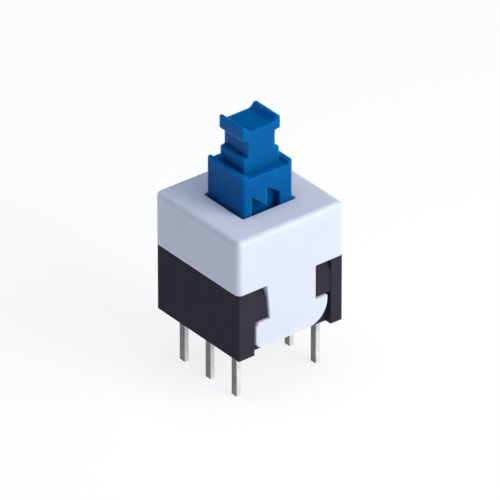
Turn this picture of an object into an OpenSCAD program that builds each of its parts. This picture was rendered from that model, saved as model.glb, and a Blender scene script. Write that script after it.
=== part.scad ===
// Latching push-button switch, 8.5 mm square, double pole, with six flat board pins. Sizes are in mm.
// +Z is up. The origin is the centre of the underside, which sits on the board; the pins reach below it.
// The front face is -Y and the left face is -X. The plunger is at its released height.

/* [Body] */
// Width and depth of the square body
body_w = 8.5; // [8.5:0.1:9]
// Height of the joint line between the base and the cover
joint_z = 4.93; // [4.9:0.05:5.1]
// Height of the cover's top face
top_z = 8.87; // [8.87:0.05:9.2]
// Step by which the cover stands out past the base on each side
cover_step = 0.09; // [0.02:0.01:0.12]
// Radius of the cover's upright edges
cover_corner_r = 0.3; // [0.1:0.05:0.5]
// Radius round the cover's top face
cover_rim_r = 0.42; // [0.2:0.02:0.6]
// Radius of the base's upright edges
base_corner_r = 0.14; // [0.04:0.02:0.2]
// Thickness of the base's floor
floor_t = 0.9; // [0.8:0.05:1]
// Thickness of the cover's roof
roof_t = 0.9; // [0.8:0.05:1]

/* [Snap hooks] */
// Depth of the recess in the base that each hook lies in
recess_d = 0.55; // [0.5:0.05:0.55]
// Width of the base's post beside the hook's squarish end
post_wide = 1.3; // [1.1:0.05:1.35]
// Width of the base's post beside the hook's rounded end
post_narrow = 0.97; // [0.8:0.05:1.05]
// Thickness of the hook
hook_t = 0.6; // [0.5:0.05:0.6]
// Width of the hook's stem where it meets the bar
stem_w = 3.75; // [3:0.05:4.2]
// Extra width of the stem on one side where it meets the cover
stem_flare = 0.23; // [0:0.01:0.4]
// Height of the hook's bar
bar_h = 1.93; // [1.8:0.01:2.2]
// Gap between the underside and the hook's bar
bar_gap = 0.48; // [0.3:0.02:0.5]
// Radius of the bar's one large lower corner
bar_big_r = 1.65; // [1:0.05:1.7]
// Depth of the lugs that the bar catches under, measured from the face of the base
lug_d = 0.06; // [0.04:0.02:0.2]
// Height of the ramp at the top of a lug
lug_ramp = 1; // [0.5:0.1:1.5]

/* [Plunger] */
// Width of the plunger's block, left to right
block_x = 4.1; // [3.8:0.05:4.15]
// Depth of the plunger's block, front to back
block_y = 3.84; // [3.84:0.02:3.9]
// Radius of the block's upright edges
block_r = 0.3; // [0.1:0.05:0.35]
// Gap between the block and the edge of the hole it slides in
hole_gap = 0.12; // [0.1:0.01:0.2]
// Height of the block's ledge above the cover
ledge_rise = 2.63; // [2.6:0.01:2.8]
// Width of the tier above the block, left to right
tier_x = 2.9; // [2.7:0.05:3.1]
// Width of the head at the top, left to right
head_x = 3.05; // [2.8:0.05:3.2]
// Depth of the tier, the neck and the head, front to back
head_y = 2.5; // [2.2:0.05:2.6]
// Width of the neck between the tier and the head
neck_x = 2.22; // [1.8:0.02:2.4]
// Height of the tier above the ledge
tier_h = 1.13; // [0.9:0.01:1.3]
// Height of the neck
neck_h = 1.27; // [1:0.01:1.5]
// Height of the head with its lips
head_h = 0.94; // [0.8:0.02:1.1]
// Full travel of the plunger
travel = 2.5; // [2.3:0.1:2.5]

/* [Terminals] */
// Distance between the two rows of pins
row_gap = 6.5; // [6.5:0.01:6.55]
// Distance between neighbouring pins in a row
pitch = 2.7; // [2.65:0.01:2.72]
// Thickness of the terminal strip
strip_t = 0.35; // [0.3:0.01:0.35]
// Width of a pin
pin_w = 0.55; // [0.5:0.01:0.6]
// Length of a pin below the underside
pin_l = 3.55; // [3:0.05:4.5]

/* [Hidden] */
$fn = 48;

eps = 0.01;        // overlap that makes a cut run clean through a face
half_w = body_w / 2;
ceiling_z = top_z - roof_t;

// Room inside the base
contact_x = row_gap / 2 - strip_t / 2;   // inner face of the fixed contacts
cavity_x = contact_x + 0.025;            // the contacts stand this much proud of the plastic
cavity_y = 3.15;
collar_half = 3.53;
collar_top = 6.2;
cover_inner = collar_half + 0.05;

// Snap hooks; u runs from the left corner of a face to its right corner
stem_u = 2.48;
bar_u = post_wide + 0.08;
bar_end_u = body_w - post_narrow - 0.33;
face_y = -half_w - cover_step;   // front face of the cover and its hook
bar_top_r = 0.4;
bar_low_r = 0.55;
hook_gap = 0.05;       // room between a hook and the lugs beside its stem

// Plunger: the carrier is its wide lower part, which the cover keeps in
rest_gap = 0.03;
carrier_top = ceiling_z - rest_gap;
carrier_low = floor_t + travel + 0.1;
slide_gap = 0.1;       // room between the carrier and what guides it
wing_x = 2.5;
wing_y = cavity_y - slide_gap;
rail_half_x = block_x / 2 - block_r - slide_gap;
ledge_z = top_z + ledge_rise;
rim_w = 0.4;
rim_h = 0.2;
tier_z = ledge_z + tier_h;
head_z = tier_z + neck_h;
head_top = head_z + head_h;
lip_w = 0.25;
lip_h = 0.35;
lip_slope = 0.3;
peg_r = 0.24;
peg_y = 1.35;
peg_proud = 0.12;      // how far a peg stands out past the clip it carries

// Return spring, on a post of the floor and in a blind bore of the plunger
spring_y = 0.3;
spring_r = 1.07;
spring_wire = 0.24;
spring_turns = 9;
spring_close = 1.15;   // pitch of the close end turns, in wire thicknesses
spring_steps = 14;     // rings for each turn
spring_sides = 6;
spring_bore_r = 1.3;
spring_top = 7.6;
spring_post_r = 0.7;
spring_post_h = 1.7;

// Latch: a wire staple pivots in a boss and its tip runs in the plunger's heart track
wire_r = 0.18;
wire_bend_r = 0.3;
wire_y = -2.72;
tip = [-0.27, 6.6];    // x and z of the tip at rest, right above the pivot
pivot_z = 1.45;
pivot_bore_r = 0.23;
boss_half_x = 0.55;
boss_y = [-2.5, -2.05];
boss_top = 2;
track_d = 0.6;
leaf_r = 15.5;         // curvature of the bowed leaf
leaf_t = 0.1;
leaf_half_x = 0.7;
leaf_z = [2.2, collar_top];
leaf_front = wire_y - wire_r - 0.02;

// Moving contacts
clip_t = 0.1;
clip_z = [5.2, 6.1];
clip_half_y = 2.95;
arm_touch_z = 4.25;
arm_low_z = 3.6;
arm_r = 1.23;
arm_gap = 0.025;
arm_y = [-2.6, 0, 2.6];
arm_w = 0.5;

// Fixed contacts
pad_top = 4.75;
common_half_y = 0.55;
open_pad_y = [-3.05, -2.15];
open_pad_top = 2.75;
closed_pad_y = [1.3, 3];
closed_pad_low = 3.3;
closed_leg_w = 0.6;
foot_z = [0.25, 0.75];  // the closed terminal's sideways run inside the floor

module box(x, y, z) {
    translate([x[0], y[0], z[0]]) cube([x[1] - x[0], y[1] - y[0], z[1] - z[0]]);
}

// A rectangle with rounded corners, centred
module rounded_rect(w, d, r) {
    square([w, d - 2 * r], center = true);
    square([w - 2 * r, d], center = true);
    for (x = [-1, 1], y = [-1, 1]) translate([x * (w / 2 - r), y * (d / 2 - r)]) circle(r);
}

// A bar along Y whose two top edges are rounded
module crowned_bar(w, low, top, r) {
    translate([0, w / 2 + 1, 0]) rotate([90, 0, 0]) linear_extrude(w + 2) {
        translate([-w / 2, low]) square([w, top - low - r]);
        translate([-w / 2 + r, low]) square([w - 2 * r, top - low]);
        for (x = [-1, 1]) translate([x * (w / 2 - r), top - r]) circle(r);
    }
}

// Draws its children in the XZ plane and thickens them from y0 towards the back
module wall_plate(y0, thick) {
    translate([0, y0 + thick, 0]) rotate([90, 0, 0]) linear_extrude(thick) children();
}

// Draws its children in the YZ plane and thickens them from x0 towards the right
module side_plate(x0, thick) {
    translate([x0, 0, 0]) rotate([90, 0, 90]) linear_extrude(thick) children();
}

module front_and_back() {
    children();
    rotate([0, 0, 180]) children();
}

// What lies outside a rounded corner at the origin; toward is the direction of the corner
module corner_waste(r, toward) {
    difference() {
        translate([min(0, toward[0]) * r, min(0, toward[1]) * r]) square(r + eps);
        circle(r);
    }
}

// ---- Base ----

// The black lugs on both sides of a hook's stem, above its bar; they run up to the joint line as ramps
module lugs() {
    stem = stem_u - half_w;
    low = bar_gap + bar_h + hook_gap;
    intersection() {
        side_plate(-half_w, body_w) polygon([
            [-half_w + recess_d + eps, low], [-half_w + lug_d, low], [-half_w + lug_d, joint_z - lug_ramp],
            [-half_w + recess_d, joint_z], [-half_w + recess_d + eps, joint_z]
        ]);
        wall_plate(-half_w, recess_d + eps) {
            polygon([
                [post_wide - half_w - eps, low], [stem - hook_gap, low],
                [stem - stem_flare - hook_gap, joint_z], [post_wide - half_w - eps, joint_z]
            ]);
            polygon([
                [stem + stem_w + hook_gap, low], [half_w - post_narrow + eps, low],
                [half_w - post_narrow + eps, joint_z], [stem + stem_w + hook_gap, joint_z]
            ]);
        }
    }
}

module base_shell() {
    difference() {
        union() {
            linear_extrude(joint_z) rounded_rect(body_w, body_w, base_corner_r);
            linear_extrude(collar_top) rounded_rect(2 * collar_half, 2 * collar_half, base_corner_r);
        }
        box([-cavity_x, cavity_x], [-cavity_y, cavity_y], [floor_t, collar_top + eps]);
        front_and_back() box([post_wide - half_w, half_w - post_narrow], [-half_w - eps, -half_w + recess_d],
            [-eps, joint_z + eps]);
    }
    front_and_back() lugs();
}

module base_housing() {
    color([0.16, 0.15, 0.19]) difference() {
        union() {
            base_shell();
            // Rail that the plunger's two wings straddle
            box([-rail_half_x, rail_half_x], [block_y / 2 + slide_gap, cavity_y + eps],
                [floor_t - eps, collar_top]);
            // Boss for the latch wire's pivot
            box([tip[0] - boss_half_x, tip[0] + boss_half_x], boss_y, [floor_t - eps, boss_top]);
            // Ledge under the leaf spring
            box([tip[0] - leaf_half_x, tip[0] + leaf_half_x], [-cavity_y - eps, wire_y - wire_r - 0.08],
                [floor_t - eps, leaf_z[0]]);
            translate([0, spring_y, floor_t - eps]) cylinder(r = spring_post_r, h = spring_post_h);
        }
        translate([tip[0], boss_y[0] - eps, pivot_z]) rotate([-90, 0, 0])
            cylinder(r = pivot_bore_r, h = boss_y[1] - boss_y[0] + 2 * eps);
        for (side = [-1, 1]) {
            terminal(side) common_outline();
            terminal(side) closed_outline();
            terminal(side) open_outline();
        }
    }
}

// ---- Cover ----

// Outline of one hook on its face, from the middle of the face
module hook_outline() {
    stem = stem_u - half_w;
    left = bar_u - half_w;
    right = bar_end_u - half_w;
    bar_top = bar_gap + bar_h;
    polygon([
        [stem, bar_top - eps], [stem + stem_w, bar_top - eps],
        [stem + stem_w, joint_z + eps], [stem - stem_flare, joint_z + eps]
    ]);
    difference() {
        translate([left, bar_gap]) square([right - left, bar_h]);
        translate([left + bar_top_r, bar_top - bar_top_r]) corner_waste(bar_top_r, [-1, 0]);
        translate([left + bar_low_r, bar_gap + bar_low_r]) corner_waste(bar_low_r, [-1, -1]);
        translate([right - bar_big_r, bar_gap + bar_big_r]) corner_waste(bar_big_r, [0, -1]);
    }
}

module top_cover() {
    cover_w = -2 * face_y;
    color([0.87, 0.89, 0.96]) {
        difference() {
            intersection() {
                translate([0, 0, joint_z]) linear_extrude(top_z - joint_z)
                    rounded_rect(cover_w, cover_w, cover_corner_r);
                crowned_bar(cover_w, joint_z, top_z, cover_rim_r);
                rotate([0, 0, 90]) crowned_bar(cover_w, joint_z, top_z, cover_rim_r);
            }
            box([-cover_inner, cover_inner], [-cover_inner, cover_inner], [joint_z - eps, ceiling_z]);
            box([-1, 1] * (block_x / 2 + hole_gap), [-1, 1] * (block_y / 2 + hole_gap),
                [ceiling_z - eps, top_z + eps]);
        }
        // Rib that keeps the leaf spring down
        box([tip[0] - leaf_half_x, tip[0] + leaf_half_x], [-cover_inner - eps, -cavity_y + 0.13],
            [collar_top + 0.05, collar_top + 0.55]);
        front_and_back() wall_plate(face_y, hook_t) hook_outline();
    }
}

// ---- Plunger ----

// The heart track, as x and z from the tip at rest. The press leg leans right and ends in the right
// slot, the return leg comes down the left slot, and the island between them has the notch that holds
// the plunger. The two slots have slanted tops and a tooth between them, which shows above the cover.
module track_outline() {
    left = -1.07;
    tooth = 0.17;
    right = 1.24;
    difference() {
        polygon([
            [-0.3, -0.3], [0.24, -0.3], [right, 2.2], [right, 3.12], [tooth, 3.85],
            [tooth, 2.46], [left, 3.51], [left, 1.6], [-0.3, 0]
        ]);
        polygon([[-0.05, 0.64], [0.335, 1.9], [-0.06, 1.6], [-0.515, 2.05], [-0.515, 1.6]]);
    }
}

// Outline of everything above the block, from the front
module head_outline() {
    translate([-tier_x / 2, ledge_z - eps]) square([tier_x, tier_h + eps]);
    translate([-neck_x / 2, tier_z - eps]) square([neck_x, neck_h + 2 * eps]);
    // The head's top dips between two lips with sloping inner sides
    lip = head_x / 2 - lip_w;
    polygon([
        [-head_x / 2, head_z], [head_x / 2, head_z], [head_x / 2, head_top], [lip, head_top],
        [lip - lip_slope, head_top - lip_h], [lip_slope - lip, head_top - lip_h],
        [-lip, head_top], [-head_x / 2, head_top]
    ]);
}

module plunger() {
    color([0.02, 0.4, 0.7]) {
        difference() {
            union() {
                translate([0, 0, carrier_low]) linear_extrude(ledge_z - carrier_low)
                    rounded_rect(block_x, block_y, block_r);
                // Low rims along the ledge's left and right edges
                translate([0, 0, ledge_z - eps]) linear_extrude(rim_h + eps) difference() {
                    rounded_rect(block_x, block_y, block_r);
                    square([block_x - 2 * rim_w, block_y + 1], center = true);
                }
                for (side = [0, 1]) mirror([side, 0, 0]) {
                    box([block_x / 2 - block_r, wing_x], [-wing_y, wing_y], [carrier_low, carrier_top]);
                    for (y = [-peg_y, peg_y]) translate([wing_x - eps, y, (clip_z[0] + clip_z[1]) / 2])
                        rotate([0, 90, 0]) cylinder(r = peg_r, h = clip_t + peg_proud);
                }
            }
            wall_plate(-block_y / 2 - eps, track_d + eps) translate(tip) track_outline();
            translate([0, spring_y, carrier_low - eps])
                cylinder(r = spring_bore_r, h = spring_top - carrier_low + eps);
        }
        wall_plate(-head_y / 2, head_y) head_outline();
    }
}

// ---- Spring and latch ----

// Height of the coil's centre line after t turns: one close turn at each end, open turns between
function coil_z(t) =
    let (close = spring_close * spring_wire,
         low = floor_t + spring_wire / 2 + eps,
         top = spring_top - spring_wire / 2 - eps,
         open = (top - low - 2 * close) / (spring_turns - 2))
    t < 1 ? low + close * t
    : t > spring_turns - 1 ? top - close * (spring_turns - t)
    : low + close + open * (t - 1);

function coil_ring(t) =
    let (a = 360 * t)
    [for (k = [0 : spring_sides - 1])
        let (b = 360 * k / spring_sides, r = spring_r + spring_wire / 2 * cos(b))
        [r * cos(a), spring_y + r * sin(a), coil_z(t) + spring_wire / 2 * sin(b)]];

module return_spring() {
    rings = spring_turns * spring_steps;
    n = spring_sides;
    points = [for (i = [0 : rings]) each coil_ring(i / spring_steps)];
    walls = [for (i = [0 : rings - 1], k = [0 : n - 1]) [i * n + k, i * n + (k + 1) % n,
        (i + 1) * n + (k + 1) % n, (i + 1) * n + k]];
    first = [for (k = [n - 1 : -1 : 0]) k];
    last = [for (k = [0 : n - 1]) rings * n + k];
    color("silver") polyhedron(points, concat(walls, [first, last]));
}

// A staple of round wire: pivot leg below, upright, tip leg above, joined by two bends
module latch_wire() {
    legs = [[pivot_z, boss_y[1] - 0.03, 1], [tip[1], -block_y / 2 + track_d - 0.08, -1]];
    color("lightsteelblue") translate([tip[0], 0, 0]) {
        translate([0, wire_y, pivot_z + wire_bend_r])
            cylinder(r = wire_r, h = tip[1] - pivot_z - 2 * wire_bend_r);
        // Each leg: its height, where it ends in y, and on which side of it the upright lies
        for (leg = legs) {
            translate([0, wire_y + wire_bend_r, leg[0]]) rotate([-90, 0, 0])
                cylinder(r = wire_r, h = leg[1] - wire_y - wire_bend_r);
            translate([0, wire_y + wire_bend_r, leg[0] + leg[2] * wire_bend_r])
                rotate([-90 * leg[2], 0, -90]) rotate_extrude(angle = 90)
                translate([wire_bend_r, 0]) circle(wire_r);
        }
    }
}

// A thin leaf bowed towards the wire, which it presses into the track
module latch_leaf_spring() {
    mid_z = (leaf_z[0] + leaf_z[1]) / 2;
    color("lightgrey") intersection() {
        translate([tip[0] - leaf_half_x, leaf_front - leaf_r, mid_z]) rotate([0, 90, 0]) difference() {
            cylinder(r = leaf_r, h = 2 * leaf_half_x, $fn = 180);
            translate([0, 0, -eps])
                cylinder(r = leaf_r - leaf_t, h = 2 * leaf_half_x + 2 * eps, $fn = 180);
        }
        box([-half_w, half_w], [-cavity_y, leaf_front + eps], leaf_z);
    }
}

// ---- Contacts ----

// Places a YZ outline as a strip in the row of pins at one side
module terminal(side) {
    mirror([side < 0 ? 1 : 0, 0, 0]) side_plate(contact_x, strip_t) children();
}

module pin_outline(y) {
    translate([y - pin_w / 2, -pin_l]) square([pin_w, pin_l + foot_z[1]]);
}

module common_outline() {
    pin_outline(0);
    translate([-common_half_y, foot_z[1] - eps]) square([2 * common_half_y, pad_top - foot_z[1] + eps]);
}

module open_outline() {
    pin_outline(-pitch);
    translate([open_pad_y[0], foot_z[1] - eps])
        square([open_pad_y[1] - open_pad_y[0], open_pad_top - foot_z[1] + eps]);
}

module closed_outline() {
    pin_outline(pitch);
    translate([closed_pad_y[0], foot_z[0]]) square([pitch - closed_pad_y[0], foot_z[1] - foot_z[0]]);
    translate([closed_pad_y[0], foot_z[0]]) square([closed_leg_w, pad_top - foot_z[0]]);
    translate([closed_pad_y[0], closed_pad_low])
        square([closed_pad_y[1] - closed_pad_y[0], pad_top - closed_pad_low]);
}

module common_terminal(side) { color("silver") terminal(side) common_outline(); }
module closed_terminal(side) { color("silver") terminal(side) closed_outline(); }
module open_terminal(side) { color("silver") terminal(side) open_outline(); }

// A spring clip on the plunger's wing: a plate on two pegs and three arms bowed out to the fixed contacts
module moving_contact(side) {
    color([0.85, 0.6, 0.35]) mirror([side < 0 ? 1 : 0, 0, 0]) {
        difference() {
            box([wing_x, wing_x + clip_t], [-clip_half_y, clip_half_y], clip_z);
            for (y = [-peg_y, peg_y]) translate([wing_x - eps, y, (clip_z[0] + clip_z[1]) / 2])
                rotate([0, 90, 0]) cylinder(r = peg_r + 0.02, h = clip_t + 2 * eps);
        }
        for (y = arm_y) intersection() {
            translate([contact_x - arm_gap - arm_r, y - arm_w / 2, arm_touch_z])
                rotate([-90, 0, 0]) difference() {
                cylinder(r = arm_r, h = arm_w);
                translate([0, 0, -eps]) cylinder(r = arm_r - clip_t, h = arm_w + 2 * eps);
            }
            box([wing_x, contact_x], [y - arm_w, y + arm_w], [arm_low_z, clip_z[0] + eps]);
        }
    }
}

base_housing();
top_cover();
plunger();
return_spring();
latch_wire();
latch_leaf_spring();
common_terminal(-1);  // common_terminal_left
closed_terminal(-1);  // closed_terminal_left
open_terminal(-1);  // open_terminal_left
common_terminal(1);  // common_terminal_right
closed_terminal(1);  // closed_terminal_right
open_terminal(1);  // open_terminal_right
moving_contact(-1);  // moving_contact_left
moving_contact(1);  // moving_contact_right
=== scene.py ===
"""Looks of the latching push-button switch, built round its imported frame.

Shapes are worked out in millimetres and turned into metres when a piece is placed.
+Z is up, the front face is -Y and the left face is -X.
"""
import math

import bmesh
import bpy
from mathutils import Matrix, Vector


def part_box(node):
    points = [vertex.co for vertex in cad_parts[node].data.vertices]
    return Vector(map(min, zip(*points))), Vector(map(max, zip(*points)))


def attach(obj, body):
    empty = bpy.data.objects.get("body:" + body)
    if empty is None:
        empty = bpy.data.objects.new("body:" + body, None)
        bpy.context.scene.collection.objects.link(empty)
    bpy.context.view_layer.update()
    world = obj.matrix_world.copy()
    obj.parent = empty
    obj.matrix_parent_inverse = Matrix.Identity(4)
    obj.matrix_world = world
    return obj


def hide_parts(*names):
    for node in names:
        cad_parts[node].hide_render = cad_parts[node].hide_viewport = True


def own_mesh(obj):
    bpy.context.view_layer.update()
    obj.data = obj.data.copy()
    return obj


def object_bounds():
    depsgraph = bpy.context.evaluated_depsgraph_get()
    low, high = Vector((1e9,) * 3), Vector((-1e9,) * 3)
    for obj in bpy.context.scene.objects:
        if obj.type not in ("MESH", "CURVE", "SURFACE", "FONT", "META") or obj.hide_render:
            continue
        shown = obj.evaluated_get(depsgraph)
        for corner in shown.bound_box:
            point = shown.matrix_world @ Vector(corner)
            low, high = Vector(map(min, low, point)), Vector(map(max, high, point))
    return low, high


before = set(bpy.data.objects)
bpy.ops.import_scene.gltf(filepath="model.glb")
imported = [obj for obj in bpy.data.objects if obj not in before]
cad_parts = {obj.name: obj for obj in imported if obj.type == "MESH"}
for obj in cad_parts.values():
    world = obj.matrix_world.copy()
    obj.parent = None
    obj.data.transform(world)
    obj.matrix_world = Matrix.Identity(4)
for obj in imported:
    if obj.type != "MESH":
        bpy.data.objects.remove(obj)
cad_box = [list(corner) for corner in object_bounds()]

MM = 0.001


def box_mm(node):
    """A CAD node's lowest and highest corners in millimetres."""
    return [[round(x / MM, 4) for x in corner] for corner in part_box(node)]


# ---------------------------------------------------------------- camera

AZIMUTH = math.radians(-38.371)     # turned from looking along +Y
ELEVATION = math.radians(31.318)
DISTANCE = 600.0                    # a long lens, so edges stay nearly parallel
VIEW_WIDTH = 32.02                  # what the picture's width covers at the object
AIM = (0.0, 0.0, 6.0)               # a point on the plunger's axis
AIM_PIXEL = (249.7, 234.0)          # where it shows in the 500 x 500 picture
PICTURE = 500
SENSOR = 36

right = Vector((math.cos(AZIMUTH), math.sin(AZIMUTH), 0))
back = Vector((math.sin(AZIMUTH) * math.cos(ELEVATION),
               -math.cos(AZIMUTH) * math.cos(ELEVATION),
               math.sin(ELEVATION)))
up = back.cross(right)

camera_data = bpy.data.cameras.new("camera")
camera_data.sensor_width = SENSOR
camera_data.lens = SENSOR * DISTANCE / VIEW_WIDTH
camera_data.clip_start = 0.05
camera_data.clip_end = 20
camera = bpy.data.objects.new("camera", camera_data)
bpy.context.scene.collection.objects.link(camera)
pixel = VIEW_WIDTH / PICTURE
shift = right * (PICTURE / 2 - AIM_PIXEL[0]) + up * (AIM_PIXEL[1] - PICTURE / 2)
middle = Vector(AIM) + shift * pixel
axes = Matrix((right, up, back)).transposed().to_4x4()
camera.matrix_world = Matrix.Translation((middle + back * DISTANCE) * MM) @ axes
bpy.context.scene.camera = camera
bpy.context.scene.view_settings.view_transform = "Standard"


# ---------------------------------------------------------------- mesh tools

NEAR = 0.01                         # a point this near to a face counts as on it
OVERLAP = 0.1                       # how far a form reaches into what it is joined to
PAST = 0.5                          # how far a cut runs past the face that it opens
WELL_PAST = 1                       # the same, where nothing is near

# Where the point (a, b) of an outline goes at height c, for each plane
PLANES = {"xy": lambda a, b, c: (a, b, c),
          "xz": lambda a, b, c: (a, c, b),
          "yz": lambda a, b, c: (c, a, b)}


def new_piece(name, verts, faces):
    mesh = bpy.data.meshes.new(name)
    mesh.from_pydata([tuple(v) for v in verts], [], faces)
    piece = bpy.data.objects.new(name, mesh)
    bpy.context.scene.collection.objects.link(piece)
    return piece


def fix_normals(piece):
    bm = bmesh.new()
    bm.from_mesh(piece.data)
    bmesh.ops.recalc_face_normals(bm, faces=bm.faces)
    bm.to_mesh(piece.data)
    bm.free()
    return piece


def prism(outline, plane, low, high):
    """A closed outline in one of the PLANES, drawn out from low to high along the third axis."""
    n = len(outline)
    verts = [PLANES[plane](a, b, c) for c in (low, high) for a, b in outline]
    faces = [[i, (i + 1) % n, n + (i + 1) % n, n + i] for i in range(n)]
    faces += [list(range(n))[::-1], list(range(n, 2 * n))]
    return fix_normals(new_piece("tool", verts, faces))


def block(x, y, z):
    return prism([(x[0], y[0]), (x[1], y[0]), (x[1], y[1]), (x[0], y[1])], "xy", *z)


def arc(cx, cy, r, start, end, steps):
    """Points on an arc from start to end, in degrees."""
    turn = [math.radians(start + (end - start) * i / steps) for i in range(steps + 1)]
    return [(cx + r * math.cos(t), cy + r * math.sin(t)) for t in turn]


def disc(cx, cy, r, steps=40):
    return arc(cx, cy, r, 0, 360, steps)[:-1]


def round_rect(half_x, half_y, r, steps=8):
    x, y = half_x - r, half_y - r
    return (arc(x, y, r, 0, 90, steps) + arc(-x, y, r, 90, 180, steps)
            + arc(-x, -y, r, 180, 270, steps) + arc(x, -y, r, 270, 360, steps))


def apply_modifiers(piece):
    graph = bpy.context.evaluated_depsgraph_get()
    mesh = bpy.data.meshes.new_from_object(piece.evaluated_get(graph))
    piece.modifiers.clear()
    old, piece.data = piece.data, mesh
    bpy.data.meshes.remove(old)


def boolean(piece, operation, tools):
    for tool in tools:
        modifier = piece.modifiers.new("boolean", "BOOLEAN")
        modifier.operation = operation
        modifier.solver = "EXACT"
        modifier.object = tool
        apply_modifiers(piece)
        bpy.data.objects.remove(tool)
    return piece


def join(piece, *tools):
    return boolean(piece, "UNION", tools)


def cut(piece, *tools):
    return boolean(piece, "DIFFERENCE", tools)


SAME_POINT = 0.0005                 # points this near to each other are one
FLAT = math.radians(0.5)            # faces that meet at less than this are one


def clean(piece):
    """Joins the flat faces that a cut left in pieces."""
    bm = bmesh.new()
    bm.from_mesh(piece.data)
    bmesh.ops.remove_doubles(bm, verts=bm.verts, dist=SAME_POINT)
    bmesh.ops.dissolve_limit(bm, angle_limit=FLAT, verts=bm.verts, edges=bm.edges,
                             delimit={"NORMAL"})
    bmesh.ops.recalc_face_normals(bm, faces=bm.faces)
    bm.to_mesh(piece.data)
    bm.free()
    return piece


WIDEST = 1.0                        # the rounding that a bevel weight of 1 stands for
SHARP = math.radians(31)            # least angle of an edge that is rounded


def everywhere(radius):
    """The same rounding for every sharp edge."""
    return lambda at, along, convex: radius


def soften(piece, radius_of, segments=3):
    """Rounds each sharp edge by radius_of(middle, direction, whether it is convex)."""
    clean(piece)
    bm = bmesh.new()
    bm.from_mesh(piece.data)
    weight = bm.edges.layers.float.new("bevel_weight_edge")
    for edge in bm.edges:
        if len(edge.link_faces) != 2:
            continue
        angle = edge.calc_face_angle_signed(0)
        if abs(angle) < SHARP:
            continue
        a, b = edge.verts[0].co, edge.verts[1].co
        edge[weight] = radius_of((a + b) / 2, (b - a).normalized(), angle > 0) / WIDEST
    bm.to_mesh(piece.data)
    bm.free()
    modifier = piece.modifiers.new("soft edges", "BEVEL")
    modifier.limit_method = "WEIGHT"
    modifier.width = WIDEST
    modifier.segments = segments
    modifier.profile = 0.5
    modifier.use_clamp_overlap = False
    modifier.miter_outer = "MITER_ARC"
    apply_modifiers(piece)
    return piece


def mirror_x(piece):
    piece.data.transform(Matrix.Diagonal((-1, 1, 1, 1)))
    piece.data.flip_normals()
    return piece


def tube(path, r, sides):
    """A round bar along a path of points, with flat ends."""
    points = [Vector(p) for p in path]
    tangents = [(points[min(i + 1, len(points) - 1)] - points[max(i - 1, 0)]).normalized()
                for i in range(len(points))]
    across = tangents[0].orthogonal().normalized()
    verts, faces = [], []
    for point, tangent in zip(points, tangents):
        across = (across - tangent * across.dot(tangent)).normalized()
        other = tangent.cross(across)
        for k in range(sides):
            t = math.tau * k / sides
            verts.append(point + r * (math.cos(t) * across + math.sin(t) * other))
    for i in range(len(points) - 1):
        for k in range(sides):
            a, b = i * sides + k, i * sides + (k + 1) % sides
            faces.append([a, b, b + sides, a + sides])
    last = (len(points) - 1) * sides
    faces += [list(range(sides))[::-1], [last + k for k in range(sides)]]
    return fix_normals(new_piece("tool", verts, faces))


CREASE = math.radians(40)           # least angle of an edge that is shaded as a crease
FACE_WEIGHT = 90                    # how much large faces lead the shading


def place(piece, name, body, node, material):
    """Turns a piece into metres, sets what it rides on and is made of, and hides the part of
    model.glb that it stands for.
    """
    piece.name = piece.data.name = name
    piece.data.transform(Matrix.Scale(MM, 4))
    piece.data.materials.clear()
    piece.data.materials.append(material)
    for polygon in piece.data.polygons:
        polygon.use_smooth = True
    piece.data.set_sharp_from_angle(angle=CREASE)
    normals = piece.modifiers.new("normals", "WEIGHTED_NORMAL")
    normals.keep_sharp = True
    normals.weight = FACE_WEIGHT
    apply_modifiers(piece)
    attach(piece, body)
    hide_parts(node)
    return piece


# ---------------------------------------------------------------- materials

def new_material(name, colour, roughness, metallic=0.0, **sockets):
    """A material with constants on its shader; sockets are named with _ in place of spaces."""
    made = bpy.data.materials.new(name)
    made.use_nodes = True
    shader = made.node_tree.nodes["Principled BSDF"]
    shader.inputs["Base Color"].default_value = (*colour, 1)
    shader.inputs["Roughness"].default_value = roughness
    shader.inputs["Metallic"].default_value = metallic
    for socket, value in sockets.items():
        shader.inputs[socket.replace("_", " ")].default_value = value
    return made


def noise(made, size, detail, stretch=(1, 1, 1)):
    """Noise whose lumps are about size millimetres, in the piece's own coordinates."""
    nodes, links = made.node_tree.nodes, made.node_tree.links
    where = nodes.new("ShaderNodeTexCoord")
    scale = nodes.new("ShaderNodeMapping")
    scale.inputs["Scale"].default_value = [s / (size * MM) for s in stretch]
    texture = nodes.new("ShaderNodeTexNoise")
    texture.inputs["Scale"].default_value = 1
    texture.inputs["Detail"].default_value = detail
    links.new(where.outputs["Object"], scale.inputs["Vector"])
    links.new(scale.outputs["Vector"], texture.inputs["Vector"])
    return texture.outputs["Fac"]


def spread(made, value, low, high, near=0.3, far=0.7):
    """Maps a value from near..far, where most noise lies, to low..high."""
    node = made.node_tree.nodes.new("ShaderNodeMapRange")
    limits = {"From Min": near, "From Max": far, "To Min": low, "To Max": high}
    for socket, limit in limits.items():
        node.inputs[socket].default_value = limit
    made.node_tree.links.new(value, node.inputs["Value"])
    return node.outputs["Result"]


def blend_colours(made, value, low, high):
    """Blends from low to high as value goes from 0 to 1; both are colours or nodes' outputs."""
    node = made.node_tree.nodes.new("ShaderNodeMix")
    node.data_type = "RGBA"
    factor, first, second = node.inputs[0], node.inputs[6], node.inputs[7]   # those for colours
    made.node_tree.links.new(value, factor)
    for socket, colour in ((first, low), (second, high)):
        if isinstance(colour, tuple):
            socket.default_value = (*colour, 1)
        else:
            made.node_tree.links.new(colour, socket)
    return node.outputs[2]


def connect(made, value, socket):
    made.node_tree.links.new(value, made.node_tree.nodes["Principled BSDF"].inputs[socket])


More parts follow.
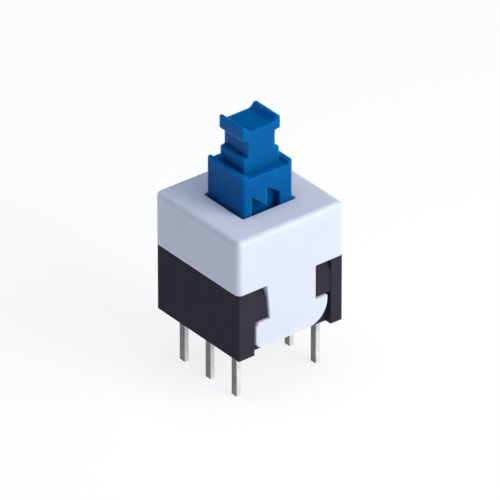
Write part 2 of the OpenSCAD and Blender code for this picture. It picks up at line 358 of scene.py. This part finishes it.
def bump(made, layers):
    """Stacks bumps, each a height value and its depth in millimetres."""
    nodes, links = made.node_tree.nodes, made.node_tree.links
    normal = None
    for height, depth in layers:
        node = nodes.new("ShaderNodeBump")
        node.inputs["Strength"].default_value = 1
        node.inputs["Distance"].default_value = depth * MM
        links.new(height, node.inputs["Height"])
        if normal is not None:
            links.new(normal, node.inputs["Normal"])
        normal = node.outputs["Normal"]
    connect(made, normal, "Normal")


def clouds(made, size, detail):
    """Soft patches that go from 0 to 1."""
    return spread(made, noise(made, size, detail), 0, 1)


# Size in millimetres and detail of the noises on the plastics
DRIFT, GLOSS, WAVE, SKIN = (2.2, 3), (0.5, 5), (1.6, 2), (0.07, 3)
GLOSSIER, DULLER = 0.06, 0.08       # how far the roughness strays
WAVE_DEPTH = 3                      # in grains


def moulded_plastic(name, colour, deep, roughness, grain, **sockets):
    """Moulded plastic: slow drifts of colour and gloss, a faint wave and a fine skin."""
    made = new_material(name, colour, roughness, **sockets)
    connect(made, blend_colours(made, clouds(made, *DRIFT), deep, colour), "Base Color")
    gloss = spread(made, noise(made, *GLOSS), roughness - GLOSSIER, roughness + DULLER)
    connect(made, gloss, "Roughness")
    bump(made, [(noise(made, *WAVE), grain * WAVE_DEPTH), (noise(made, *SKIN), grain)])
    return made


white_plastic = moulded_plastic(
    "white_plastic", colour=(0.60, 0.655, 0.84), deep=(0.58, 0.635, 0.82), roughness=0.36,
    grain=0.0008, Specular_IOR_Level=0.35,
    Subsurface_Weight=0.6, Subsurface_Scale=0.0006, Subsurface_Radius=(1, 0.9, 0.8))
blue_plastic = moulded_plastic(
    "blue_plastic", colour=(0.001, 0.108, 0.36), deep=(0.001, 0.094, 0.33), roughness=0.34,
    grain=0.0004, Specular_IOR_Level=0.08, Specular_Tint=(0.02, 0.5, 1, 1),
    Subsurface_Weight=1.0, Subsurface_Scale=0.0012, Subsurface_Radius=(0.1, 0.8, 1.0))
black_plastic = moulded_plastic(
    "black_plastic", colour=(0.032, 0.0305, 0.050), deep=(0.027, 0.026, 0.043), roughness=0.5,
    grain=0.0020, Specular_IOR_Level=0.03)

# Darkest and lightest tone of the tinned strips' faces: painted shade on the faces that look along
# X, painted light on the edges that look along Y
PAINTED_SHADE_TONES = ((0.13, 0.13, 0.135), (0.22, 0.22, 0.225))
PAINTED_LIGHT_TONES = ((0.59, 0.60, 0.62), (0.75, 0.76, 0.79))


def painted_shade_mask(made):
    """1 on a strip's faces that look along X, which take a painted shade, and 0 on its edges that
    look along Y, which take a painted light.
    """
    nodes, links = made.node_tree.nodes, made.node_tree.links
    where = nodes.new("ShaderNodeTexCoord")
    parts = nodes.new("ShaderNodeSeparateXYZ")
    sideways = nodes.new("ShaderNodeMath")
    sideways.operation = "ABSOLUTE"
    links.new(where.outputs["Normal"], parts.inputs["Vector"])
    links.new(parts.outputs["X"], sideways.inputs[0])
    return spread(made, sideways.outputs["Value"], 0, 1, near=0.45, far=0.85)


def tinned():
    """Tinned strip: faces that look along X painted dark as shade, edges that look along Y painted
    bright as lit, clouded tones and fine streaks down its length.
    """
    made = new_material("tinned_metal", (0.6, 0.6, 0.59), 0.42, metallic=0.3)
    cloudy = clouds(made, 0.6, 4)
    # The faces that look along X get a painted shade tone and the edges that look along Y a painted
    # light tone
    shaded_tone = blend_colours(made, cloudy, *PAINTED_SHADE_TONES)
    lit_tone = blend_colours(made, cloudy, *PAINTED_LIGHT_TONES)
    connect(made, blend_colours(made, painted_shade_mask(made), lit_tone, shaded_tone), "Base Color")
    brushed = noise(made, 0.15, 5, stretch=(1, 1, 0.15))
    connect(made, spread(made, brushed, 0.28, 0.5), "Roughness")
    dimples = noise(made, 0.25, 4)
    streaks = noise(made, 0.05, 2, stretch=(1, 1, 0.08))
    bump(made, [(dimples, 0.004), (streaks, 0.0012)])
    return made


def bare_metal(name, colour, roughness, cloud, tones, gloss, gloss_range, skin, skin_depth):
    """Bare metal; cloud, gloss and skin are the size, detail and stretch of their noise."""
    made = new_material(name, colour, roughness, metallic=1.0)
    connect(made, blend_colours(made, clouds(made, *cloud), *tones), "Base Color")
    connect(made, spread(made, noise(made, *gloss), *gloss_range), "Roughness")
    bump(made, [(noise(made, *skin), skin_depth)])
    return made


tinned_metal = tinned()
spring_steel = bare_metal(
    "spring_steel", (0.62, 0.62, 0.63), 0.26,
    cloud=(0.4, 3), tones=((0.50, 0.50, 0.52), (0.68, 0.68, 0.69)),
    gloss=(0.1, 4), gloss_range=(0.2, 0.38), skin=(0.03, 2), skin_depth=0.0006)
contact_bronze = bare_metal(
    "contact_bronze", (0.66, 0.42, 0.22), 0.3,
    cloud=(0.8, 4), tones=((0.52, 0.31, 0.16), (0.72, 0.48, 0.26)),
    gloss=(0.12, 4, (1, 0.1, 1)), gloss_range=(0.22, 0.42),
    skin=(0.05, 3, (1, 0.1, 1)), skin_depth=0.0012)


# ---------------------------------------------------------------- base

base_high = box_mm("base_housing")[1]
cover_low, cover_high = box_mm("top_cover")

HALF = base_high[0]                 # half the base's width
COLLAR_TOP = base_high[2]
JOINT = 4.93                        # height of the joint line under the cover
FLOOR = 0.9                         # top of the base's floor
COLLAR = 3.53                       # half the width of the collar inside the cover
COLLAR_FOOT = 0.2                   # the collar's lower end, inside the base
CAVITY = (3.1, 3.15)                # half its width and half its depth
UPRIGHT = 0.9                       # how far up a unit vector points that counts as upright

# A hook is a stem with a wide bar at its lower end, in a recess between two posts
RECESS = 0.55                       # depth of a recess
POST_WIDE, POST_NARROW = 1.3, 0.97
BAR_ROOM = (0.08, 0.33)             # from the bar's ends to the wide and the narrow post
BAR_H = 1.93
BAR = (POST_WIDE + BAR_ROOM[0] - HALF, HALF - POST_NARROW - BAR_ROOM[1],
       cover_low[2], cover_low[2] + BAR_H)      # left, right, bottom and top
STEM_U, STEM_W, STEM_FLARE = 2.48, 3.75, 0.23   # place from the corner, width and left flare
STEM = (STEM_U - HALF, STEM_U - HALF + STEM_W)  # left and right
HOOK_GAP = 0.05                     # room between a hook and its lugs
LUG_DEPTH, LUG_RAMP = 0.06, 1.0     # how far the lugs lie behind the face, and their ramps' height
LUG_ROOT = 0.05                     # how far a lug reaches into the base
LUG_BEHIND = -3                     # y well behind the front lugs

SPRING_Y = 0.3
SPRING_POST = (0.7, 1.7)            # radius and height of the post inside the return spring
TIP = (-0.27, 6.6)                  # x and z of the latch wire's tip
PIVOT_Z = 1.45
BOSS_HALF, BOSS_Y, BOSS_TOP = 0.55, (-2.5, -2.05), 2    # the boss that the wire turns in
BORE_R, BORE_Y = 0.23, (-2.7, -1.9)                     # and its bore
LEAF_HALF = 0.7                     # half the leaf spring's width
LEDGE_Y, LEDGE_TOP = (-3.2, -2.98), 2.2                 # the ledge under the leaf spring
RAIL_HALF, RAIL_Y = 1.65, (2.02, 3.2)                   # the rail between the plunger's wings

# How far edges are rounded, by where they are
BASE_ROUND = {"face": 0.08, "corner": 0.14, "post": 0.04, "lug": 0.01, "foot": 0.05,
              "pin hole": 0.02, "joint": 0.06, "inside": 0.0, "collar": 0.04}

STRIP = (3.075, 3.425)              # inner and outer face of the terminal strips
STRIP_ROOM = 0.015                  # a hair's room round a strip in the base
PIN_HALF = 0.275                    # half a pin's width
PIN_END = box_mm("common_terminal_left")[0][2]
PITCH = 2.7                         # from pin to pin
ROOT = 0.75                         # height where a pin widens into its pad
PAD_TOP = 4.75
COMMON_HALF = 0.55                  # half the common pad's width
OPEN_PAD = (-2.15, -3.05, 2.75)     # the open pad's inner edge, outer edge and top
CLOSED_FOOT = 0.25                  # where the closed strip turns inwards
CLOSED_LEG = (1.3, 1.9)             # inner and outer edge of its leg
CLOSED_PAD = (3.0, 3.3)             # its pad's outer edge and underside


def pin_sides(y, top):
    """A pin's outline as y and z, open at its top."""
    return [(y - PIN_HALF, top), (y - PIN_HALF, PIN_END),
            (y + PIN_HALF, PIN_END), (y + PIN_HALF, top)]


common_outline = pin_sides(0, ROOT) + [
    (COMMON_HALF, ROOT), (COMMON_HALF, PAD_TOP), (-COMMON_HALF, PAD_TOP), (-COMMON_HALF, ROOT)]
open_outline = pin_sides(-PITCH, ROOT) + [
    (OPEN_PAD[0], ROOT), (OPEN_PAD[0], OPEN_PAD[2]), (OPEN_PAD[1], OPEN_PAD[2]),
    (OPEN_PAD[1], ROOT)]
closed_outline = pin_sides(PITCH, CLOSED_FOOT)[:3] + [
    (PITCH + PIN_HALF, ROOT), (CLOSED_LEG[1], ROOT), (CLOSED_LEG[1], CLOSED_PAD[1]),
    (CLOSED_PAD[0], CLOSED_PAD[1]), (CLOSED_PAD[0], PAD_TOP), (CLOSED_LEG[0], PAD_TOP),
    (CLOSED_LEG[0], CLOSED_FOOT)]
SIDES = ((-1, "left"), (1, "right"))


def slot_for(outline, side):
    """What a strip's outline takes out of the base, open towards the cavity."""
    middle_y = sum(y for y, z in outline) / len(outline)
    middle_z = sum(z for y, z in outline) / len(outline)
    grown = [(y + math.copysign(STRIP_ROOM, y - middle_y),
              z + math.copysign(STRIP_ROOM, z - middle_z)) for y, z in outline]
    x = sorted((side * (STRIP[0] - OVERLAP), side * (STRIP[1] + STRIP_ROOM)))
    return prism(grown, "yz", *x)


def lug(turn, bottom, top, low):
    """A lug with its ramp; bottom and top are its two sides' x at its foot and at the joint."""
    face, back_y = -HALF + LUG_DEPTH, -HALF + RECESS
    profile = [(back_y + LUG_ROOT, low), (face, low), (face, JOINT - LUG_RAMP), (back_y, JOINT),
               (back_y + LUG_ROOT, JOINT)]
    made = prism([(turn * y, z) for y, z in profile], "yz", -HALF, HALF)
    outline = [(bottom[0], low - WELL_PAST), (bottom[1], low - WELL_PAST), (bottom[1], low),
               (top[1], JOINT), (top[0], JOINT)]
    y = sorted((turn * -HALF, turn * LUG_BEHIND))
    keep = prism([(turn * x, z) for x, z in outline], "xz", *y)
    return boolean(made, "INTERSECT", [keep])


def base():
    shell = block((-HALF, HALF), (-HALF, HALF), (0, JOINT))
    join(shell, block((-COLLAR, COLLAR), (-COLLAR, COLLAR), (COLLAR_FOOT, COLLAR_TOP)))
    cut(shell, block((-CAVITY[0], CAVITY[0]), (-CAVITY[1], CAVITY[1]),
                     (FLOOR, COLLAR_TOP + WELL_PAST)))
    for turn in (1, -1):
        x = sorted((turn * (POST_WIDE - HALF), turn * (HALF - POST_NARROW)))
        y = sorted((turn * (-HALF - WELL_PAST), turn * (-HALF + RECESS)))
        cut(shell, block(x, y, (-WELL_PAST, JOINT + PAST)))
        low = BAR[3] + HOOK_GAP
        inner, outer = STEM[0] - HOOK_GAP, POST_WIDE - HALF - LUG_ROOT
        join(shell, lug(turn, (outer, inner), (outer, inner - STEM_FLARE), low))
        inner, outer = STEM[1] + HOOK_GAP, HALF - POST_NARROW + LUG_ROOT
        join(shell, lug(turn, (inner, outer), (inner, outer), low))
    under = FLOOR - OVERLAP
    join(shell, block((-RAIL_HALF, RAIL_HALF), RAIL_Y, (under, COLLAR_TOP)))
    join(shell, block((TIP[0] - BOSS_HALF, TIP[0] + BOSS_HALF), BOSS_Y, (under, BOSS_TOP)))
    join(shell, block((TIP[0] - LEAF_HALF, TIP[0] + LEAF_HALF), LEDGE_Y, (under, LEDGE_TOP)))
    join(shell, prism(disc(0, SPRING_Y, SPRING_POST[0]), "xy", under, FLOOR + SPRING_POST[1]))
    cut(shell, prism(disc(TIP[0], PIVOT_Z, BORE_R, steps=24), "xz", *BORE_Y))
    for side, _ in SIDES:
        for outline in (common_outline, open_outline, closed_outline):
            cut(shell, slot_for(outline, side))

    def radius(at, along, convex):
        upright = abs(along.z) > UPRIGHT
        outward = max(abs(at.x), abs(at.y))
        if outward > HALF - NEAR and convex:
            if not upright:
                return BASE_ROUND["face"]
            return BASE_ROUND["corner" if abs(abs(at.x) - abs(at.y)) < NEAR else "post"]
        if upright and not convex and abs(abs(at.y) - HALF + LUG_DEPTH) < NEAR:
            return BASE_ROUND["lug"]
        if at.z < NEAR:
            return BASE_ROUND["foot" if outward > COLLAR else "pin hole"]
        if outward > COLLAR and at.z < JOINT + NEAR:
            return BASE_ROUND["joint"]
        return BASE_ROUND["inside" if at.z < JOINT else "collar"]

    return soften(shell, radius)


place(base(), "base_body", "housing", "base_housing", black_plastic)


# ---------------------------------------------------------------- cover

FACE = cover_high[1]                # half the cover's width
TOP = cover_high[2]
ROOF = 0.9                          # thickness of the cover's top
CEILING = TOP - ROOF
COVER_R = 0.42                      # rounding of the cover's top and upright edges
INNER = COLLAR + 0.05               # half the width inside, with room round the collar
INNER_R, HOLE_R = 0.15, 0.1         # corners of the inside and of the hole
HOOK_T = 0.6                        # thickness of a hook
HOOK_ROOT = 0.4                     # how far a hook reaches up into the cover's wall
BAR_R = (0.4, 0.55, 1.65)           # the bar's top left, bottom left and bottom right corners
RIB_Y, RIB_Z = (-3.7, -3.02), (0.05, 0.55)      # the rib over the leaf spring, from the collar up

BLOCK = (2.05, 1.92)                # half the width and depth of the plunger's block
HOLE_GAP = 0.12                     # room round it in the cover's hole

# How far edges are rounded, by where they are
COVER_ROUND = {"hook": 0.07, "hole": 0.06, "hook inside": 0.05, "inside": 0.04}


def hook_outline():
    """A hook's outline on the front face, as x and z."""
    left, right_end, low, top = BAR
    small, medium, big = BAR_R
    root = JOINT + HOOK_ROOT
    return (arc(left + medium, low + medium, medium, 180, 270, 12)
            + arc(right_end - big, low + big, big, 270, 360, 24)
            + [(right_end, top), (STEM[1], top), (STEM[1], root), (STEM[0] - STEM_FLARE, root),
               (STEM[0] - STEM_FLARE, JOINT), (STEM[0], top)]
            + arc(left + small, top - small, small, 90, 180, 10))


def cover():
    shell = block((-FACE, FACE), (-FACE, FACE), (JOINT, TOP))
    bm = bmesh.new()
    bm.from_mesh(shell.data)
    outer = [e for e in bm.edges if (e.verts[0].co.z + e.verts[1].co.z) / 2 > JOINT + NEAR]
    bmesh.ops.bevel(bm, geom=outer, offset=COVER_R, segments=8, profile=0.5, affect="EDGES")
    bm.to_mesh(shell.data)
    bm.free()
    for turn in (1, -1):
        outline = [(turn * x, z) for x, z in hook_outline()]
        join(shell, prism(outline, "xz", *sorted((-turn * FACE, -turn * (FACE - HOOK_T)))))
    cut(shell, prism(round_rect(INNER, INNER, INNER_R, steps=4), "xy", JOINT - PAST, CEILING))
    hole = round_rect(BLOCK[0] + HOLE_GAP, BLOCK[1] + HOLE_GAP, HOLE_R, steps=4)
    cut(shell, prism(hole, "xy", CEILING - PAST, TOP + PAST))
    join(shell, block((TIP[0] - LEAF_HALF, TIP[0] + LEAF_HALF), RIB_Y,
                      (COLLAR_TOP + RIB_Z[0], COLLAR_TOP + RIB_Z[1])))

    def radius(at, along, convex):
        below = at.z < JOINT + NEAR
        if abs(at.y) > FACE - NEAR and below and convex:
            return COVER_ROUND["hook"]
        if at.z > TOP - NEAR:
            return COVER_ROUND["hole"]
        if abs(at.y) > FACE - HOOK_T - NEAR and below:
            return COVER_ROUND["hook inside"]
        return COVER_ROUND["inside"]

    return soften(shell, radius)


place(cover(), "cover_shell", "housing", "top_cover", white_plastic)


# ---------------------------------------------------------------- plunger

plunger_low, plunger_high = box_mm("plunger")
CARRIER = plunger_low[2]
HEAD_TOP = plunger_high[2]
BLOCK_R = 0.3
LEDGE_RISE, TIER_H, NECK_H = 2.63, 1.13, 1.27
TIER_ROOT = 0.2                     # how far the tier reaches into the block
LEDGE = TOP + LEDGE_RISE
TIER = (1.45, LEDGE + TIER_H)       # half the width and the top
NECK = (1.11, LEDGE + TIER_H + NECK_H)
HEAD = 1.525                        # half the head's width
HEAD_Y = 1.25                       # half the depth of the tier, the neck and the head
LIP = (0.25, 0.35, 0.3)             # width, height and slope of the head's lips
RIM_W, RIM_H = 0.4, 0.2             # the low rims along the ledge's left and right edges
WING = (2.5, 3.05, CEILING - 0.03)  # half the wings' width and depth, and their top
PEG_Y, PEG_Z, PEG_R = 1.35, 5.65, 0.24
PEG_X = (2.4, 2.72)                 # from inside the wing to the peg's end
SPRING_BORE = (1.3, 7.6)            # radius and top
CLEAR_Y = 3                         # y that is clear of the block's front and back
SEEN = 3                            # how far below the cover's top the block's edges show

# The heart track and the island in it, as x and z from the latch wire's tip at rest
TRACK = [(-0.3, -0.3), (0.24, -0.3), (1.24, 2.2), (1.24, 3.12), (0.17, 3.85), (0.17, 2.46),
         (-1.07, 3.51), (-1.07, 1.6), (-0.3, 0)]
ISLAND = [(-0.05, 0.64), (0.335, 1.9), (-0.06, 1.6), (-0.515, 2.05), (-0.515, 1.6)]
TRACK_DEPTH = 0.6

# How far edges are rounded, by where they are
PLUNGER_ROUND = {"lip": 0.07, "lip's foot": 0.16, "head": 0.11, "tier": 0.12, "ledge": 0.07,
                 "block": 0.05, "inside": 0.04}


def head_outline():
    """Outline of the tier, the neck and the head, as x and z."""
    width, height, slope = LIP
    edge = HEAD - width
    half = [(TIER[0], LEDGE - TIER_ROOT), (TIER[0], TIER[1]), (NECK[0], TIER[1]),
            (NECK[0], NECK[1]), (HEAD, NECK[1]), (HEAD, HEAD_TOP), (edge, HEAD_TOP),
            (edge - slope, HEAD_TOP - height)]
    return half + [(-x, z) for x, z in half[::-1]]


def plunger():
    body = prism(round_rect(*BLOCK, BLOCK_R), "xy", CARRIER, LEDGE + RIM_H)
    cut(body, block((-BLOCK[0] + RIM_W, BLOCK[0] - RIM_W), (-CLEAR_Y, CLEAR_Y),
                    (LEDGE, LEDGE + WELL_PAST)))
    join(body, prism(head_outline(), "xz", -HEAD_Y, HEAD_Y))
    for side, _ in SIDES:
        x = sorted((side * (BLOCK[0] - BLOCK_R), side * WING[0]))
        join(body, block(x, (-WING[1], WING[1]), (CARRIER, WING[2])))
        for y in (-PEG_Y, PEG_Y):
            x = sorted((side * PEG_X[0], side * PEG_X[1]))
            join(body, prism(disc(y, PEG_Z, PEG_R, steps=24), "yz", *x))
    x, z = TIP
    track = [(x + a, z + b) for a, b in TRACK]
    island = [(x + a, z + b) for a, b in ISLAND]
    groove = prism(track, "xz", -CLEAR_Y, -BLOCK[1] + TRACK_DEPTH)
    cut(groove, prism(island, "xz", -CLEAR_Y - PAST, 0))
    cut(body, groove)
    bore_r, bore_top = SPRING_BORE
    bore = disc(0, SPRING_Y, bore_r, steps=48)
    cut(body, prism(bore, "xy", CARRIER - WELL_PAST, bore_top))

    def radius(at, along, convex):
        if at.z > HEAD_TOP - LIP[1] - NEAR:
            return PLUNGER_ROUND["lip" if convex else "lip's foot"]
        for above, part in ((TIER[1] - NEAR, "head"), (LEDGE + RIM_H + NEAR, "tier"),
                            (LEDGE - NEAR, "ledge"), (TOP - SEEN, "block")):
            if at.z > above:
                return PLUNGER_ROUND[part]
        return PLUNGER_ROUND["inside"]

    return soften(body, radius)


place(plunger(), "plunger_body", "plunger", "plunger", blue_plastic)


# ---------------------------------------------------------------- terminals

STRIP_ROUND = 0.045


def terminal(outline, side):
    strip = soften(prism(outline, "yz", *STRIP), everywhere(STRIP_ROUND), segments=2)
    return strip if side > 0 else mirror_x(strip)


for side, side_name in SIDES:
    for kind, outline in (("common", common_outline), ("closed", closed_outline),
                          ("open", open_outline)):
        place(terminal(outline, side), f"{kind}_strip_{side_name}", "housing",
              f"{kind}_terminal_{side_name}", tinned_metal)


# ---------------------------------------------------------------- spring and latch

spring_low, spring_high = box_mm("return_spring")
SPRING_R, SPRING_WIRE, SPRING_TURNS = 1.07, 0.24, 9
SPRING_CLOSE = 1.15                 # pitch of the close turns at its ends, in wire thicknesses
SPRING_STEPS, SPRING_SIDES = 28, 10


def spring():
    low, top = spring_low[2] + SPRING_WIRE / 2, spring_high[2] - SPRING_WIRE / 2
    close = SPRING_CLOSE * SPRING_WIRE
    rise = (top - low - 2 * close) / (SPRING_TURNS - 2)

    def height(t):
        if t < 1:
            return low + close * t
        if t > SPRING_TURNS - 1:
            return top - close * (SPRING_TURNS - t)
        return low + close + rise * (t - 1)

    path = []
    for i in range(SPRING_TURNS * SPRING_STEPS + 1):
        angle = math.tau * i / SPRING_STEPS
        path.append((SPRING_R * math.cos(angle), SPRING_Y + SPRING_R * math.sin(angle),
                     height(i / SPRING_STEPS)))
    return tube(path, SPRING_WIRE / 2, SPRING_SIDES)


coil = place(spring(), "return_coil", "housing", "return_spring", spring_steel)
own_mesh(coil)

WIRE_R, WIRE_Y, WIRE_BEND = 0.18, -2.72, 0.3
WIRE_FOOT = -2.08                   # y of its lower end
TIP_GAP = 0.08                      # room between its tip and the track's floor
WIRE_ROUND = 0.05


def latch_wire():
    lower = arc(WIRE_Y + WIRE_BEND, PIVOT_Z + WIRE_BEND, WIRE_BEND, 270, 180, 8)
    upper = arc(WIRE_Y + WIRE_BEND, TIP[1] - WIRE_BEND, WIRE_BEND, 180, 90, 8)
    straight = [(WIRE_Y, 3), (WIRE_Y, 5)]       # rings that square the run between the bends
    tip_y = -BLOCK[1] + TRACK_DEPTH - TIP_GAP
    path = [(WIRE_FOOT, PIVOT_Z)] + lower + straight + upper + [(tip_y, TIP[1])]
    wire = tube([(TIP[0], y, z) for y, z in path], WIRE_R, sides=20)
    return soften(wire, everywhere(WIRE_ROUND), segments=2)


place(latch_wire(), "latch_pin", "latch", "latch_wire", spring_steel)

LEAF_R, LEAF_T = 15.5, 0.1          # curvature and thickness of the bowed leaf
LEAF_ROUND = 0.02


def leaf_spring():
    low, high = box_mm("latch_leaf_spring")
    centre_y, centre_z = high[1] - LEAF_R, (low[2] + high[2]) / 2
    reach = math.degrees(math.asin((high[2] - low[2]) / 2 / LEAF_R))
    outer = arc(centre_y, centre_z, LEAF_R, -reach, reach, 16)
    inner = arc(centre_y, centre_z, LEAF_R - LEAF_T, reach, -reach, 16)
    leaf = prism(outer + inner, "yz", TIP[0] - LEAF_HALF, TIP[0] + LEAF_HALF)
    return soften(leaf, everywhere(LEAF_ROUND), segments=2)


place(leaf_spring(), "latch_leaf", "housing", "latch_leaf_spring", spring_steel)


# ---------------------------------------------------------------- moving contacts

CLIP_T, CLIP_Z, CLIP_HALF = 0.1, (5.2, 6.1), 2.95       # a clip's thickness, height and half length
PEG_HOLE, PEG_HOLE_X = 0.26, (2.3, 2.8)                 # radius of its holes, and their cuts' ends
ARM_R, ARM_W, ARM_Y = 1.23, 0.5, (-2.6, 0, 2.6)
ARM_TOUCH, ARM_LOW = 4.25, 3.6      # height of an arm's contact point and of its lower end
ARM_GAP = 0.025                     # from there to the fixed contact
ARM_ROOT = 0.05                     # how far an arm reaches up into its clip
CLIP_ROUND = 0.015


def moving_contact(side):
    clip = block((WING[0], WING[0] + CLIP_T), (-CLIP_HALF, CLIP_HALF), CLIP_Z)
    for y in (-PEG_Y, PEG_Y):
        cut(clip, prism(disc(y, PEG_Z, PEG_HOLE, steps=24), "yz", *PEG_HOLE_X))
    centre_x = STRIP[0] - ARM_GAP - ARM_R
    low = math.degrees(math.asin((ARM_LOW - ARM_TOUCH) / ARM_R))
    high = math.degrees(math.asin((CLIP_Z[0] + ARM_ROOT - ARM_TOUCH) / ARM_R))
    outline = (arc(centre_x, ARM_TOUCH, ARM_R, low, high, 18)
               + arc(centre_x, ARM_TOUCH, ARM_R - CLIP_T, high, low, 18))
    for y in ARM_Y:
        join(clip, prism(outline, "xz", y - ARM_W / 2, y + ARM_W / 2))
    soften(clip, everywhere(CLIP_ROUND), segments=1)
    return clip if side > 0 else mirror_x(clip)


for side, side_name in SIDES:
    place(moving_contact(side), f"contact_clip_{side_name}", "plunger",
          f"moving_contact_{side_name}", contact_bronze)


# ---------------------------------------------------------------- floor and light

FLOOR_HALF, FLOOR_T = 1500, 5
PALE = (0.97, 0.98, 1, 1)

floor_z = cad_box[0][2] / MM
floor = block((-FLOOR_HALF, FLOOR_HALF), (-FLOOR_HALF, FLOOR_HALF), (floor_z - FLOOR_T, floor_z))
floor.name = "floor"
floor.data.transform(Matrix.Scale(MM, 4))
floor.data.materials.append(new_material(
    "pale_floor", (0.22, 0.22, 0.22), 0.8, Specular_IOR_Level=0.1, Emission_Color=PALE,
    Emission_Strength=0.82))


def softbox(name, towards, distance, size, power, colour):
    """A square area light at a distance in millimetres along towards, facing the object."""
    data = bpy.data.lights.new(name, "AREA")
    data.size = size * MM
    data.energy = power
    data.color = colour
    light = bpy.data.objects.new(name, data)
    bpy.context.scene.collection.objects.link(light)
    direction = Vector(towards).normalized()
    light.location = (Vector(AIM) + direction * distance) * MM
    light.rotation_euler = direction.to_track_quat("Z", "Y").to_euler()


softbox("key", (0.5, -0.75, 0.62), 160, 90, 0.125, (1, 0.90, 0.75))
softbox("front", (0.15, -1, 0.4), 160, 90, 0.155, (1, 0.97, 0.80))
softbox("overhead", (0.0, 0.05, 1), 170, 140, 0.145, (0.92, 0.97, 1))
softbox("back", (-0.3, 0.85, 0.45), 170, 110, 0.038, (0.88, 0.94, 1))

# The world gives a faint cool light. Past the floor's edge the camera sees a pale backdrop
# instead, and that lights nothing.
world = bpy.data.worlds.new("studio")
bpy.context.scene.world = world
world.use_nodes = True
world_nodes, world_links = world.node_tree.nodes, world.node_tree.links
fill = world_nodes["Background"]
fill.inputs["Color"].default_value = (0.6, 0.78, 1, 1)
fill.inputs["Strength"].default_value = 0.02
backdrop = world_nodes.new("ShaderNodeBackground")
backdrop.inputs["Color"].default_value = PALE
backdrop.inputs["Strength"].default_value = 0.93
ray = world_nodes.new("ShaderNodeLightPath")
mix = world_nodes.new("ShaderNodeMixShader")
world_links.new(ray.outputs["Is Camera Ray"], mix.inputs["Fac"])
world_links.new(fill.outputs["Background"], mix.inputs[1])
world_links.new(backdrop.outputs["Background"], mix.inputs[2])
world_links.new(mix.outputs["Shader"], world_nodes["World Output"].inputs["Surface"])
